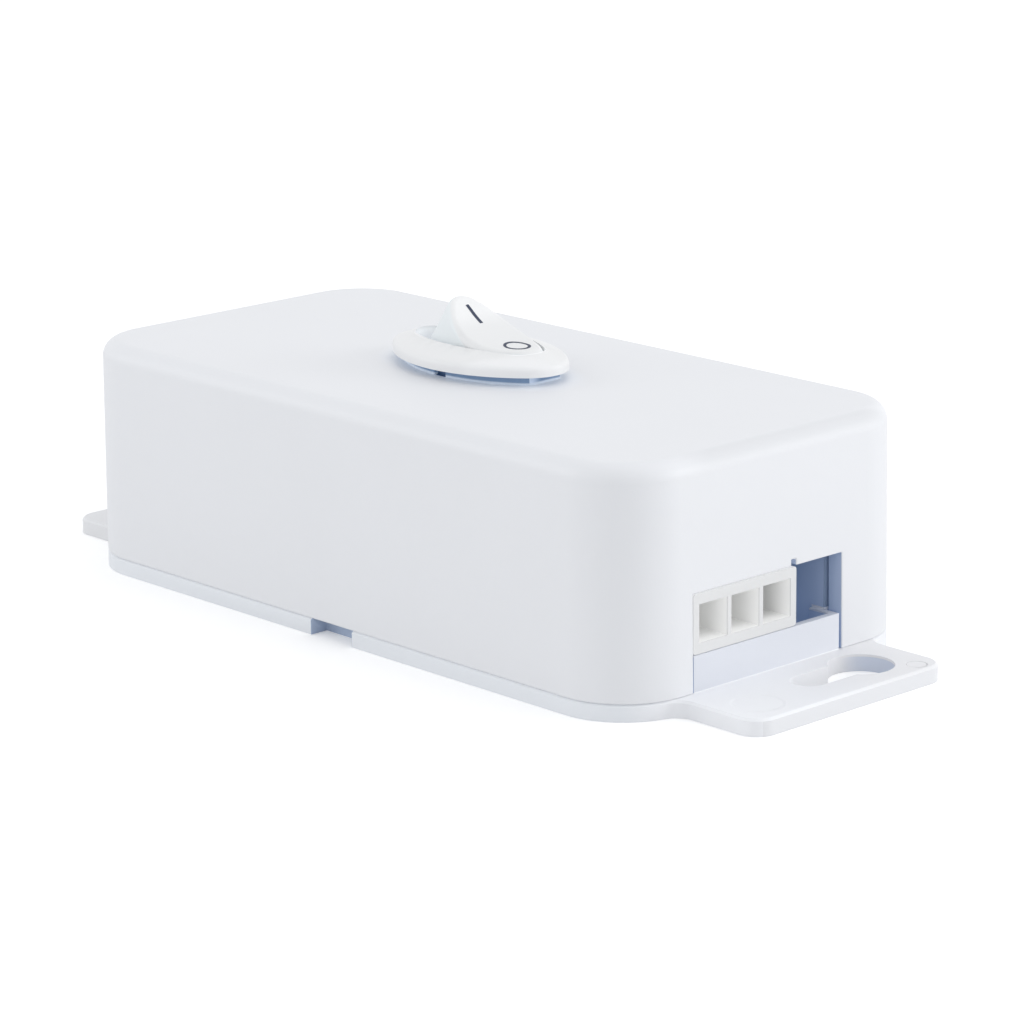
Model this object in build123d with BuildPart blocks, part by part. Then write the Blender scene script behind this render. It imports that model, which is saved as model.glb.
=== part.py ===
from build123d import *
from math import atan2, cos, degrees, radians, sin, tan
import os

os.makedirs("parts", exist_ok=True)

# A surface-mounted wiring box with an oval rocker switch in its top, for lights that plug into
# one another. Millimetres. Z is up from the mounting surface, X runs along the box towards the
# socket end, and the origin is the centre of the footprint on the mounting surface.

# Casing
body_length = 100.0
body_width = 49.6
body_height = 29.7
corner_radius = 9.4
top_edge_radius = 2.2
wall = 2.2
draft_angle = 0.58
base_thickness = 2.1
part_gap = 0.15          # loose moulded parts, side by side
slide_gap = 0.05         # parts pushed into one another

# Mounting ears at both ends, each with a keyhole
ear_reach = 12.2
front_ear_wrap = 0.6     # the ears reach this far round the corners of the box, on each side
rear_ear_wrap = 1.0
ear_corner_radius = 2.8
ear_edge_bevel = 0.3
ear_root_radius = 2.5
keyhole_inset = 5.7      # from the end of the box
keyhole_entry_diameter = 7.8
keyhole_slot_width = 4.4
keyhole_entry_y = 8.25
keyhole_slot_run = 8.85

# Pry notches and snap hooks that hold the cover on the base
pry_width = 7.5
pry_depth = 2.5
rim_thickness = 1.2
rim_height = 3.0
hook_x = 31.0
hook_width = 7.0
hook_relief = 1.0        # room in the rim beside a hook
hook_thickness = 1.5
hook_height = 10.4       # above the plate
hook_bite = 0.8
hook_drop = 2.2
rib_thickness = 1.2
rib_drop = 3.0

# Round break-out rings, one in the far end wall and one in the plate
knockout_diameter = 22.2
knockout_groove = 0.9
knockout_web = 0.8
end_knockout_height = 15.4
plate_knockout_x = 14.5
plate_knockout_y = 9.5

# Socket end: three-pole receptacle on the left, cord inlet on the right
cutout_left = -13.6
cutout_right = 11.15
cutout_top = 13.8
relief_width = 0.8
relief_height = 0.8
upstand_height = 4.4
upstand_thickness = 0.9
upstand_return = 4.0      # length of its short return beside the inlet
upstand_left_gap = 0.15
upstand_right_gap = 0.4
face_inset = 0.1         # the upstand and the receptacle lie this far behind the end face
receptacle_width = 16.95
receptacle_height = 7.1
receptacle_length = 19.0
receptacle_lift = 4.5    # its underside above the plate
receptacle_edge_radius = 0.35
socket_size = 4.55
socket_pitch = 5.22
socket_depth = 9.5
cavity_size = 3.6
lug_setback = 7.3
lug_length = 1.4
lug_reach = 1.0
cheek_thickness = 1.4
cheek_height = 9.4
cheek_length = 10.4
cheek_setback = 4.5
inlet_wall_height = 13.4
inlet_wall_length = 12.0
inlet_return = 0.9
cord_radius = 2.9
saddle_horn = 2.2
saddle_thickness = 1.5
saddle_spacing = 5.5

# Receptacle contacts
contact_size = 3.4
contact_bore = 2.3
contact_bore_depth = 6.4
contact_edge_radius = 0.35
contact_length = 8.0
contact_step = 0.2       # the contact starts this far behind the socket's floor
barrel_radius = 1.8
barrel_length = 4.0

# Oval switch bezel and the body under it
oval_end_share = 0.6     # end radius of every oval, as a share of its half width
bezel_half_length = 13.6
bezel_half_width = 8.3
bezel_lift = 1.15
bezel_rim_height = 1.2   # upright side of the bezel, below its domed top
bezel_dome_height = 1.3
bezel_edge_radius = 0.8
neck_half_length = 12.4
neck_half_width = 6.6
neck_flat = 11.6
neck_step = 0.3
axle_notch_width = 2.0
axle_notch_depth = 0.6
well_half_length = 10.4
well_half_width = 4.8
floor_thickness = 1.6
finger_half_width = 1.7
finger_slit = 0.5
finger_length = 8.0
finger_wedge = 4.8       # height of the wedge on each finger
finger_bite = 0.8

# Rocker, about an axle along Y
pivot_drop = 2.7         # axle below the cover's top
rest_tilt = 20.0         # off side pressed down
face_valley = 6.95       # valley of the dished face above the axle
face_slope = 18.2
valley_radius = 14.0
face_margin = 0.12       # extra height that the dished face is cut from
face_half_length = 7.4
face_half_width = 4.4
skirt_half_length = 9.35
skirt_half_width = 4.45
skirt_top = 2.0
skirt_bottom = 1.8
rocker_wall = 1.2
rocker_edge_radius = 0.8
axle_radius = 1.1
axle_overlap = 1.0
bearing_pad_radius = 2.2
bearing_gap = 0.3
leg_radius = 2.4
leg_drop = 4.0
leg_bore_radius = 1.5
leg_bore_top = 4.6

# Spring-loaded plunger in the rocker's leg, and the see-saw contact it tips
plunger_reach = 9.25
plunger_radius = 1.4
plunger_tip_radius = 0.8
plunger_top = 1.0        # below the axle
plunger_shoulder = 5.6
plunger_taper = 0.9
plunger_pip_radius = 0.6
plunger_pip_height = 1.1
spring_wire_radius = 0.175
spring_radius = 1.05
spring_turns = 5
spring_sides = 4         # the wound wire has this many flats, to stay light
blade_gap = 0.2
blade_thickness = 0.5
blade_half_length = 5.4
blade_width = 3.6
blade_rise = 6.0         # each arm rises outwards by this angle
blade_tilt = 6.0         # and the blade rocks by this angle to each side
fulcrum_radius = 0.4
contact_x = 4.4
contact_pad_radius = 1.15
contact_pad_thickness = 0.5
contact_shank_radius = 0.5
contact_head_radius = 0.8
contact_head_thickness = 0.25
contact_air = 0.15

# Switch terminals and the push-on connectors on them
terminal_thickness = 0.8
terminal_width = 4.8
fulcrum_width = 3.2
fulcrum_height = 1.6     # above the switch floor
terminal_drop = 7.4      # below the switch floor
terminal_hole_radius = 0.7
terminal_bend_radius = 0.7
load_terminal_x = 6.6
load_tab_start = 2.9
connector_wall = 0.5
connector_height = 6.0
connector_clearance = 0.6
sleeve_wall = 0.6
connector_barrel_radius = 1.75
connector_barrel_length = 3.6
connector_barrel_height = 2.0

# Terminal block at the wiring end
block_x = -25.0
block_length = 15.0
block_pitch = 9.5
block_lift = 2.0
block_slab = 4.6
block_height = 11.4
block_slab_margin = 3.6
tower_width = 5.6
tower_edge_radius = 1.0
cage_radius = 2.2
cage_bore_radius = 1.4
cage_length = 13.0
cage_height = 5.2
clamp_screw_spacing = 7.2
clamp_screw_radius = 1.25
clamp_head_radius = 1.6
clamp_head_height = 1.5
clamp_head_depth = 0.6
screw_slot_width = 0.5
screw_slot_depth = 0.6
block_screw_radius = 0.9
block_screw_head_radius = 1.7
block_screw_head_height = 1.3
block_screw_length = 7.6
boss_radius = 2.4

# Leads
lead_radius = 1.3
lead_sides = 8           # and so has each lead
lead_insert = 5.0        # length of a lead inside its wire cage
lead_straight = 5.0      # straight out of the block
lead_turn = 12.0         # from the block to where the leads run along the box
lead_swing = 7.5         # how far two of the leads swing out past the connectors
lead_height = 6.0        # of the low leads, above the plate
lead_rise = 1.0
lead_pass = 5.5          # between the sleeves and the nearest low lead
lead_spacing = 4.5
lead_approach = 6.0      # straight run into the receptacle
lead_climb = 13.0        # where the low leads start to climb to the receptacle
bend_share = 0.45

# Places worked out from the sizes above
end_x = body_length / 2
ear_tip_x = end_x + ear_reach
front_ear_width = body_width - 2 * (corner_radius - front_ear_wrap)
rear_ear_width = body_width - 2 * (corner_radius - rear_ear_wrap)
keyhole_x = end_x + keyhole_inset
cover_inner_top = body_height - wall
inner_end_x = end_x - wall
inner_side_y = body_width / 2 - wall
face_x = end_x - face_inset
receptacle_left = cutout_left + slide_gap
receptacle_right = receptacle_left + receptacle_width
receptacle_y = (receptacle_left + receptacle_right) / 2
receptacle_bottom = base_thickness + receptacle_lift
receptacle_z = receptacle_bottom + receptacle_height / 2
receptacle_back_x = face_x - receptacle_length
socket_floor_x = face_x - socket_depth
lug_x = face_x - lug_setback
contact_front_x = socket_floor_x - contact_step
contact_back_x = contact_front_x - contact_length
barrel_end_x = contact_back_x - barrel_length
inlet_y = (receptacle_right + part_gap + cheek_thickness + cutout_right - upstand_right_gap) / 2
pivot_z = body_height - pivot_drop
bezel_bottom = body_height + bezel_lift
bezel_top = bezel_bottom + bezel_rim_height + bezel_dome_height
bezel_dome_taper = degrees(atan2(bezel_half_width - well_half_width + part_gap, bezel_dome_height))
frame_half_width = neck_half_width - neck_step
frame_flat = neck_flat - neck_step
fulcrum_z = pivot_z - plunger_reach - blade_gap - blade_thickness - fulcrum_radius - slide_gap
frame_floor_top = fulcrum_z - fulcrum_height
frame_bottom = frame_floor_top - floor_thickness
terminal_end_z = frame_bottom - terminal_drop
block_bottom = base_thickness + block_lift
pole_z = block_bottom + cage_height
block_front_x = block_x + block_length / 2


def turned_plane(height, tilt):
    """The plane across a part that has been tipped about the axle line, +X side down."""
    c = cos(radians(tilt))
    s = sin(radians(tilt))
    return Plane(origin=(0, 0, height), x_dir=(c, 0, -s), z_dir=(s, 0, c))


def side_plane(height, tilt):
    """The upright plane along X through the same part, seen from the -Y side."""
    c = cos(radians(tilt))
    s = sin(radians(tilt))
    return Plane(origin=(0, 0, height), x_dir=(c, 0, -s), z_dir=(0, -1, 0))


def oval(half_length, half_width):
    """An oval of four arcs that run smoothly into one another."""
    end_radius = oval_end_share * half_width
    side_radius = half_length**2 + half_width**2 - 2 * half_length * end_radius
    side_radius = side_radius / (2 * (half_width - end_radius))
    reach = side_radius / (side_radius - end_radius)
    x = reach * (half_length - end_radius)
    y = half_width - side_radius + reach * (side_radius - half_width)
    with BuildLine() as outline:
        ThreePointArc((x, y), (0, half_width), (-x, y))
        ThreePointArc((-x, y), (-half_length, 0), (-x, -y))
        ThreePointArc((-x, -y), (0, -half_width), (x, -y))
        ThreePointArc((x, -y), (half_length, 0), (x, y))
    make_face(outline.edges())


def clipped_oval(half_length, half_width, flat):
    """The same oval with its two pointed ends cut flat."""
    oval(half_length, half_width)
    Rectangle(2 * flat, 2 * half_width, mode=Mode.INTERSECT)


# Base plate: the flat plate with its two ears, and what stands on it
with BuildPart() as base_plate:
    with BuildSketch() as plate_outline:
        RectangleRounded(body_length, body_width, corner_radius)
        with Locations((ear_tip_x / 2, 0)):
            Rectangle(ear_tip_x, front_ear_width)
        with Locations((-ear_tip_x / 2, 0)):
            Rectangle(ear_tip_x, rear_ear_width)
        outer_corners = plate_outline.vertices().group_by(Axis.X)
        fillet(outer_corners[0] + outer_corners[-1], ear_corner_radius)
        ear_roots = [
            corner for corner in plate_outline.vertices()
            if end_x - corner_radius / 2 < abs(corner.X) < end_x + ear_root_radius / 4
        ]
        fillet(ear_roots, ear_root_radius)
        with Locations((0, body_width / 2 - pry_depth / 2), (0, -body_width / 2 + pry_depth / 2)):
            Rectangle(pry_width, pry_depth, mode=Mode.SUBTRACT)
        with Locations((keyhole_x, keyhole_entry_y), (-keyhole_x, keyhole_entry_y)):
            Circle(keyhole_entry_diameter / 2, mode=Mode.SUBTRACT)
        slot_y = keyhole_entry_y - keyhole_slot_run / 2
        with Locations((keyhole_x, slot_y), (-keyhole_x, slot_y)):
            SlotCenterToCenter(keyhole_slot_run, keyhole_slot_width, rotation=90, mode=Mode.SUBTRACT)
    extrude(amount=base_thickness)
    ear_edges = [
        edge for edge in base_plate.faces().sort_by(Axis.Z)[-1].outer_wire().edges()
        if abs(edge.center().X) > end_x + ear_root_radius / 2
    ]
    chamfer(ear_edges, ear_edge_bevel)

    # Rim that centres the cover, open at the socket end
    with BuildSketch(Plane.XY.offset(base_thickness)):
        rim_inset = wall + 2 * part_gap
        RectangleRounded(
            body_length - 2 * rim_inset, body_width - 2 * rim_inset, corner_radius - rim_inset
        )
        rim_inner = rim_inset + rim_thickness
        RectangleRounded(
            body_length - 2 * rim_inner, body_width - 2 * rim_inner, corner_radius - rim_inner,
            mode=Mode.SUBTRACT,
        )
        with Locations((end_x, (cutout_left + cutout_right) / 2)):
            Rectangle(corner_radius, cutout_right - cutout_left + corner_radius / 2, mode=Mode.SUBTRACT)
        with Locations(
            (hook_x, inner_side_y), (-hook_x, inner_side_y), (hook_x, -inner_side_y), (-hook_x, -inner_side_y)
        ):
            Rectangle(hook_width + 2 * hook_relief, 2 * rim_inner, mode=Mode.SUBTRACT)
    extrude(amount=rim_height)

    # Four snap hooks, each a springy tongue with a barb facing the wall
    hook_face = inner_side_y - 3 * part_gap
    for side in (1, -1):
        for x in (hook_x, -hook_x):
            with BuildSketch(Plane(origin=(x, 0, base_thickness), x_dir=(0, side, 0), z_dir=(side, 0, 0))):
                with BuildLine():
                    Polyline(
                        (hook_face - hook_thickness, 0),
                        (hook_face, 0),
                        (hook_face, hook_height - hook_drop),
                        (hook_face + hook_bite, hook_height - hook_drop),
                        (hook_face, hook_height),
                        (hook_face - hook_thickness, hook_height),
                        close=True,
                    )
                make_face()
            extrude(amount=hook_width / 2, both=True)

    # Upstand that closes the lower half of the end opening, with a short return at the inlet
    upstand_left = cutout_left + upstand_left_gap
    upstand_right = cutout_right - upstand_right_gap
    with BuildSketch(Plane.XY.offset(base_thickness)):
        with Locations((face_x - upstand_thickness / 2, (upstand_left + upstand_right) / 2)):
            Rectangle(upstand_thickness, upstand_right - upstand_left)
        with Locations((face_x - upstand_return / 2, upstand_right - inlet_return / 2)):
            Rectangle(upstand_return, inlet_return)
    extrude(amount=upstand_height)

    # Tall wall beside the inlet, just inside the end wall of the cover
    inlet_wall_x = inner_end_x - 2 * part_gap
    with BuildSketch(Plane.XY.offset(base_thickness)):
        with Locations((inlet_wall_x - inlet_wall_length / 2, upstand_right + cheek_thickness / 2)):
            Rectangle(inlet_wall_length, cheek_thickness)
    extrude(amount=inlet_wall_height)

    # Cheeks that hold the receptacle by its lugs, and the rest under its back
    cheek_x = face_x - cheek_setback - cheek_length / 2
    with BuildSketch(Plane.XY.offset(base_thickness)):
        with Locations(
            (cheek_x, receptacle_left - part_gap - cheek_thickness / 2),
            (cheek_x, receptacle_right + part_gap + cheek_thickness / 2),
        ):
            Rectangle(cheek_length, cheek_thickness)
    extrude(amount=cheek_height)
    with BuildSketch(Plane.XY.offset(receptacle_bottom)):
        with Locations((lug_x, receptacle_y)):
            Rectangle(lug_length + part_gap, receptacle_width + 4 * cheek_thickness)
    extrude(amount=cheek_height, mode=Mode.SUBTRACT)
    with BuildSketch(Plane.XY.offset(base_thickness)):
        with Locations((receptacle_back_x + 2 * cheek_thickness, receptacle_y)):
            Rectangle(cheek_thickness, receptacle_width - 2 * cheek_thickness)
    extrude(amount=receptacle_lift)

    # Two saddles that carry the incoming cord between the right cheek and the inlet wall
    for step in range(2):
        saddle_x = inlet_wall_x - inlet_wall_length + saddle_thickness / 2 + step * saddle_spacing
        saddle_left = receptacle_right + part_gap + cheek_thickness - slide_gap
        saddle_height = receptacle_lift + saddle_horn
        with BuildSketch(Plane(origin=(saddle_x, 0, 0), x_dir=(0, 1, 0), z_dir=(1, 0, 0))):
            with Locations(((saddle_left + upstand_right) / 2, base_thickness + saddle_height / 2)):
                Rectangle(upstand_right - saddle_left + slide_gap, saddle_height)
            with Locations((inlet_y, receptacle_z)):
                Circle(cord_radius, mode=Mode.SUBTRACT)
        extrude(amount=saddle_thickness / 2, both=True)

    # Bosses under the terminal block, with pilot holes
    with BuildSketch(Plane.XY.offset(base_thickness)):
        with Locations((block_x, block_pitch / 2), (block_x, -block_pitch / 2)):
            Circle(boss_radius)
    extrude(amount=block_lift)
    with BuildSketch(Plane.XY.offset(block_bottom)):
        with Locations((block_x, block_pitch / 2), (block_x, -block_pitch / 2)):
            Circle(block_screw_radius + slide_gap)
    extrude(amount=-(block_lift + base_thickness / 2), mode=Mode.SUBTRACT)

    # Break-out ring in the underside
    with BuildSketch():
        with Locations((plate_knockout_x, plate_knockout_y)):
            Circle(knockout_diameter / 2)
            Circle(knockout_diameter / 2 - knockout_groove, mode=Mode.SUBTRACT)
    extrude(amount=base_thickness - knockout_web, mode=Mode.SUBTRACT)
base_plate.part.label = "base_plate"
export_step(base_plate.part, "parts/base_plate.step")


# Cover: a drafted shell, open below, with the switch opening in its top and the socket end cut out
with BuildPart() as cover:
    cover_height = body_height - base_thickness
    with BuildSketch(Plane.XY.offset(base_thickness)):
        RectangleRounded(body_length, body_width, corner_radius)
    extrude(amount=cover_height, taper=draft_angle)
    fillet(cover.faces().sort_by(Axis.Z)[-1].edges(), top_edge_radius)
    with BuildSketch(Plane.XY.offset(base_thickness)):
        RectangleRounded(body_length - 2 * wall, body_width - 2 * wall, corner_radius - wall)
    extrude(amount=cover_height - wall, taper=draft_angle, mode=Mode.SUBTRACT)

    # Stiffening ribs under the top, and the rib that holds the receptacle down
    with BuildSketch(Plane.XY.offset(cover_inner_top)):
        rib_x = (neck_half_length + end_x) / 2
        with Locations((rib_x, 0), (-rib_x, 0)):
            Rectangle(rib_thickness, 2 * inner_side_y - wall)
    extrude(amount=-rib_drop)
    with BuildSketch(Plane.XY.offset(cover_inner_top)):
        with Locations((lug_x - 2 * lug_length, receptacle_y)):
            Rectangle(rib_thickness, receptacle_width - wall)
    extrude(amount=-(cover_inner_top - receptacle_bottom - receptacle_height - part_gap))

    # Switch opening
    with BuildSketch(Plane.XY.offset(cover_inner_top)):
        clipped_oval(
            neck_half_length - neck_step + part_gap, frame_half_width + part_gap, frame_flat + part_gap
        )
    extrude(amount=wall, mode=Mode.SUBTRACT)

    # End opening, with a small relief above the receptacle's corner
    with BuildSketch(Plane(origin=(end_x, 0, 0), x_dir=(0, 1, 0), z_dir=(1, 0, 0))):
        with Locations(((cutout_left + cutout_right) / 2, (base_thickness + cutout_top) / 2)):
            Rectangle(cutout_right - cutout_left, cutout_top - base_thickness)
        with Locations((receptacle_right - relief_width / 2, cutout_top + relief_height / 2)):
            Rectangle(relief_width, relief_height)
    extrude(amount=-2 * wall, mode=Mode.SUBTRACT)

    # Pockets for the snap hooks
    pocket_z = base_thickness + hook_height - hook_drop / 2
    for side in (1, -1):
        with BuildSketch(
            Plane(origin=(0, side * (inner_side_y - wall), 0), x_dir=(-side, 0, 0), z_dir=(0, side, 0))
        ):
            with Locations((hook_x, pocket_z), (-hook_x, pocket_z)):
                Rectangle(hook_width + 2 * part_gap, hook_drop + 2 * part_gap)
        extrude(amount=wall + hook_bite, mode=Mode.SUBTRACT)

    # Break-out ring in the far end wall
    with BuildSketch(Plane(origin=(-end_x, 0, end_knockout_height), z_dir=(-1, 0, 0))):
        Circle(knockout_diameter / 2)
        Circle(knockout_diameter / 2 - knockout_groove, mode=Mode.SUBTRACT)
    extrude(amount=-(wall - knockout_web), mode=Mode.SUBTRACT)
cover.part.label = "cover"
export_step(cover.part, "parts/cover.step")


# Receptacle housing: three square sockets side by side, with a lug on each side
with BuildPart() as receptacle_housing:
    with BuildSketch(Plane(origin=(face_x, receptacle_y, receptacle_z), x_dir=(0, 1, 0), z_dir=(1, 0, 0))):
        RectangleRounded(receptacle_width, receptacle_height, receptacle_edge_radius)
    extrude(amount=-receptacle_length)
    with BuildSketch(Plane(origin=(lug_x, receptacle_y, receptacle_z), x_dir=(0, 1, 0), z_dir=(1, 0, 0))):
        Rectangle(receptacle_width + 2 * lug_reach, receptacle_height - 2 * receptacle_edge_radius)
    extrude(amount=lug_length / 2, both=True)
    with BuildSketch(Plane(origin=(face_x, receptacle_y, receptacle_z), x_dir=(0, 1, 0), z_dir=(1, 0, 0))):
        with GridLocations(socket_pitch, 0, 3, 1):
            Rectangle(socket_size, socket_size)
    extrude(amount=-socket_depth, mode=Mode.SUBTRACT)
    with BuildSketch(
        Plane(origin=(socket_floor_x, receptacle_y, receptacle_z), x_dir=(0, 1, 0), z_dir=(1, 0, 0))
    ):
        with GridLocations(socket_pitch, 0, 3, 1):
            Rectangle(cavity_size, cavity_size)
    extrude(amount=-receptacle_length, mode=Mode.SUBTRACT)
receptacle_housing.part.label = "receptacle_housing"
export_step(receptacle_housing.part, "parts/receptacle_housing.step")


# Receptacle contacts: a square box that grips the pin, and a round crimp barrel behind it
for pole, name in enumerate(("earth_contact", "neutral_contact", "line_contact")):
    pole_y = receptacle_y + (pole - 1) * socket_pitch
    with BuildPart() as contact:
        with BuildSketch(Plane(origin=(contact_front_x, pole_y, receptacle_z), z_dir=(1, 0, 0))):
            RectangleRounded(contact_size, contact_size, contact_edge_radius)
        extrude(amount=-contact_length)
        with BuildSketch(Plane(origin=(contact_back_x, pole_y, receptacle_z), z_dir=(-1, 0, 0))):
            Circle(barrel_radius)
        extrude(amount=barrel_length)
        with BuildSketch(Plane(origin=(contact_front_x, pole_y, receptacle_z), z_dir=(1, 0, 0))):
            Rectangle(contact_bore, contact_bore)
        extrude(amount=-contact_bore_depth, mode=Mode.SUBTRACT)
        with BuildSketch(Plane(origin=(barrel_end_x, pole_y, receptacle_z), z_dir=(1, 0, 0))):
            Circle(lead_radius + slide_gap)
        extrude(amount=barrel_length, mode=Mode.SUBTRACT)
    contact.part.label = name
    export_step(contact.part, f"parts/{name}.step")


# Switch frame: oval bezel, stepped neck and a deep body with a snap finger at each end
with BuildPart() as switch_frame:
    with BuildSketch(Plane.XY.offset(bezel_bottom)):
        oval(bezel_half_length, bezel_half_width)
    extrude(amount=bezel_rim_height)
    with BuildSketch(Plane.XY.offset(bezel_bottom + bezel_rim_height)):
        oval(bezel_half_length, bezel_half_width)
    extrude(amount=bezel_dome_height, taper=bezel_dome_taper)
    fillet(switch_frame.edges().group_by(Axis.Z)[-3], bezel_edge_radius)
    with BuildSketch(Plane.XY.offset(body_height)):
        clipped_oval(neck_half_length, neck_half_width, neck_flat)
    extrude(amount=bezel_lift)
    with BuildSketch(Plane.XY.offset(frame_bottom)):
        clipped_oval(neck_half_length - neck_step, frame_half_width, frame_flat)
    extrude(amount=body_height - frame_bottom)

    # Well for the rocker and the contacts
    with BuildSketch(Plane.XY.offset(frame_floor_top)):
        oval(well_half_length, well_half_width)
    extrude(amount=bezel_top - frame_floor_top, mode=Mode.SUBTRACT)

    # Bearings for the rocker's axle, and the notches in the neck above them
    for side in (1, -1):
        pad_y = skirt_half_width + bearing_gap
        with BuildSketch(Plane(origin=(0, side * pad_y, pivot_z), z_dir=(0, side, 0))):
            Circle(bearing_pad_radius)
        extrude(amount=well_half_width - pad_y + bearing_gap)
        with BuildSketch(Plane(origin=(0, side * pad_y, pivot_z), z_dir=(0, side, 0))):
            Circle(axle_radius + slide_gap)
        extrude(amount=neck_half_width, mode=Mode.SUBTRACT)
        with BuildSketch(Plane.XY.offset(body_height)):
            with Locations((0, side * neck_half_width)):
                Rectangle(axle_notch_width, 2 * axle_notch_depth)
        extrude(amount=bezel_lift, mode=Mode.SUBTRACT)

    # Snap fingers: slit free on three sides, each with a wedge that catches under the cover
    finger_top = cover_inner_top - part_gap
    for side in (1, -1):
        with BuildSketch(
            Plane(origin=(side * (well_half_length - floor_thickness), 0, 0), x_dir=(0, side, 0), z_dir=(side, 0, 0))
        ):
            slit_y = finger_half_width + finger_slit / 2
            slit_z = finger_top - finger_length / 2
            with Locations((slit_y, slit_z), (-slit_y, slit_z)):
                Rectangle(finger_slit, finger_length)
            with Locations((0, finger_top + finger_slit / 2)):
                Rectangle(2 * finger_half_width + 2 * finger_slit, finger_slit)
        extrude(amount=neck_half_length, mode=Mode.SUBTRACT)
        with BuildSketch(Plane(origin=(0, 0, 0), x_dir=(side, 0, 0), z_dir=(0, -side, 0))):
            with BuildLine():
                Polyline(
                    (frame_flat - slide_gap, finger_top),
                    (frame_flat + finger_bite, finger_top),
                    (frame_flat + finger_bite, finger_top - finger_bite),
                    (frame_flat - slide_gap, finger_top - finger_wedge),
                    close=True,
                )
            make_face()
        extrude(amount=finger_half_width, both=True)

    # Stop under the blade's open arm, and slots for the two terminals
    with BuildSketch(Plane.XY.offset(frame_floor_top)):
        with Locations((-contact_x, 0)):
            Rectangle(blade_width / 2, blade_width / 2)
    extrude(amount=fulcrum_height + fulcrum_radius - blade_gap)
    with BuildSketch(Plane.XY.offset(frame_bottom)):
        with Locations((0, 0), (load_terminal_x, 0)):
            Rectangle(terminal_thickness + 2 * slide_gap, terminal_width + 2 * slide_gap)
    extrude(amount=floor_thickness, mode=Mode.SUBTRACT)
switch_frame.part.label = "switch_frame"
export_step(switch_frame.part, "parts/switch_frame.step")


rocker_plane = turned_plane(pivot_z, rest_tilt)
rocker_side = side_plane(pivot_z, rest_tilt)
rocker_axis = Axis(rocker_plane.origin, rocker_plane.z_dir)
face_tangent = tan(radians(face_slope))


def rocker_form(inset):
    """The rocker's outer shape, or with an inset the hollow inside it."""
    face_drop = inset / cos(radians(face_slope))
    top = face_valley + face_half_length * face_tangent + face_margin
    with BuildPart() as form:
        with BuildSketch(rocker_plane.offset(-skirt_bottom)):
            oval(skirt_half_length - inset, skirt_half_width - inset)
        extrude(amount=skirt_bottom + skirt_top)
        with BuildSketch(rocker_plane.offset(skirt_top)):
            oval(skirt_half_length - inset, skirt_half_width - inset)
        with BuildSketch(rocker_plane.offset(top)):
            oval(face_half_length - inset, face_half_width - inset)
        loft(ruled=True)
        with BuildSketch(rocker_side) as above_face:
            reach = skirt_half_length + valley_radius / 2
            with BuildLine():
                Polyline(
                    (0, face_valley - face_drop),
                    (reach, face_valley - face_drop + reach * face_tangent),
                    (reach, face_valley + reach),
                    (-reach, face_valley + reach),
                    (-reach, face_valley - face_drop + reach * face_tangent),
                    close=True,
                )
            make_face()
            fillet(above_face.vertices().sort_by(Axis.Y)[0], valley_radius)
        extrude(amount=2 * skirt_half_width, both=True, mode=Mode.SUBTRACT)
    return form.part


rocker_outer = rocker_form(0)
rocker_hollow = rocker_form(rocker_wall)

# Rocker: a dished, hollow cap on two stub axles, with a bored leg for the plunger
with BuildPart() as rocker:
    add(rocker_outer)
    rim_level = (skirt_top + face_valley) / 2
    rim = [
        edge for edge in rocker.edges().filter_by(GeomType.LINE, reverse=True)
        if rocker_plane.to_local_coords(edge @ 0.5).Z > rim_level
    ]
    fillet(rim, rocker_edge_radius)
    add(rocker_hollow, mode=Mode.SUBTRACT)
    with BuildSketch(rocker_plane.offset(-leg_drop)):
        Circle(leg_radius)
    extrude(amount=leg_drop + face_valley)
    with BuildSketch(rocker_plane.offset(-leg_drop)):
        Circle(leg_bore_radius)
    extrude(amount=leg_drop + leg_bore_top, mode=Mode.SUBTRACT)
    for side in (1, -1):
        stub_root = skirt_half_width - rocker_wall / 2
        with BuildSketch(Plane(origin=(0, side * stub_root, pivot_z), z_dir=(0, side, 0))):
            Circle(axle_radius)
        extrude(amount=well_half_width + axle_overlap - stub_root)
rocker.part.label = "rocker"
export_step(rocker.part, "parts/rocker.step")


# Plunger: a turned pin with a rounded tip, and a pip that centres the spring
with BuildPart() as plunger:
    with BuildSketch(rocker_side):
        with BuildLine():
            tip = CenterArc((0, plunger_tip_radius - plunger_reach), plunger_tip_radius, -90, 90)
            Polyline(
                tip @ 1,
                (plunger_tip_radius, -plunger_shoulder - plunger_taper),
                (plunger_radius, -plunger_shoulder),
                (plunger_radius, -plunger_top),
                (plunger_pip_radius, -plunger_top),
                (plunger_pip_radius, plunger_pip_height - plunger_top),
                (0, plunger_pip_height - plunger_top),
                tip @ 0,
            )
        make_face()
    revolve(axis=rocker_axis)
plunger.part.label = "plunger"
export_step(plunger.part, "parts/plunger.step")


# Plunger spring, between the plunger's shoulder and the end of the bore
spring_bottom = -plunger_top + spring_wire_radius + slide_gap
spring_top = leg_bore_top - spring_wire_radius - slide_gap
spring_height = spring_top - spring_bottom
with BuildPart() as plunger_spring:
    with BuildLine() as coil:
        Helix(
            pitch=spring_height / spring_turns,
            height=spring_height,
            radius=spring_radius,
            center=rocker_plane.from_local_coords((0, 0, spring_bottom)),
            direction=rocker_plane.z_dir,
        )
    with BuildSketch(Plane(origin=coil.line @ 0, z_dir=coil.line % 0)):
        RegularPolygon(spring_wire_radius, spring_sides)
    sweep(path=coil.line)
plunger_spring.part.label = "plunger_spring"
export_step(plunger_spring.part, "parts/plunger_spring.step")


blade_plane = side_plane(fulcrum_z, -blade_tilt)
blade_tangent = tan(radians(blade_rise))
blade_under = fulcrum_radius + slide_gap
blade_top = blade_under + blade_thickness

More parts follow.
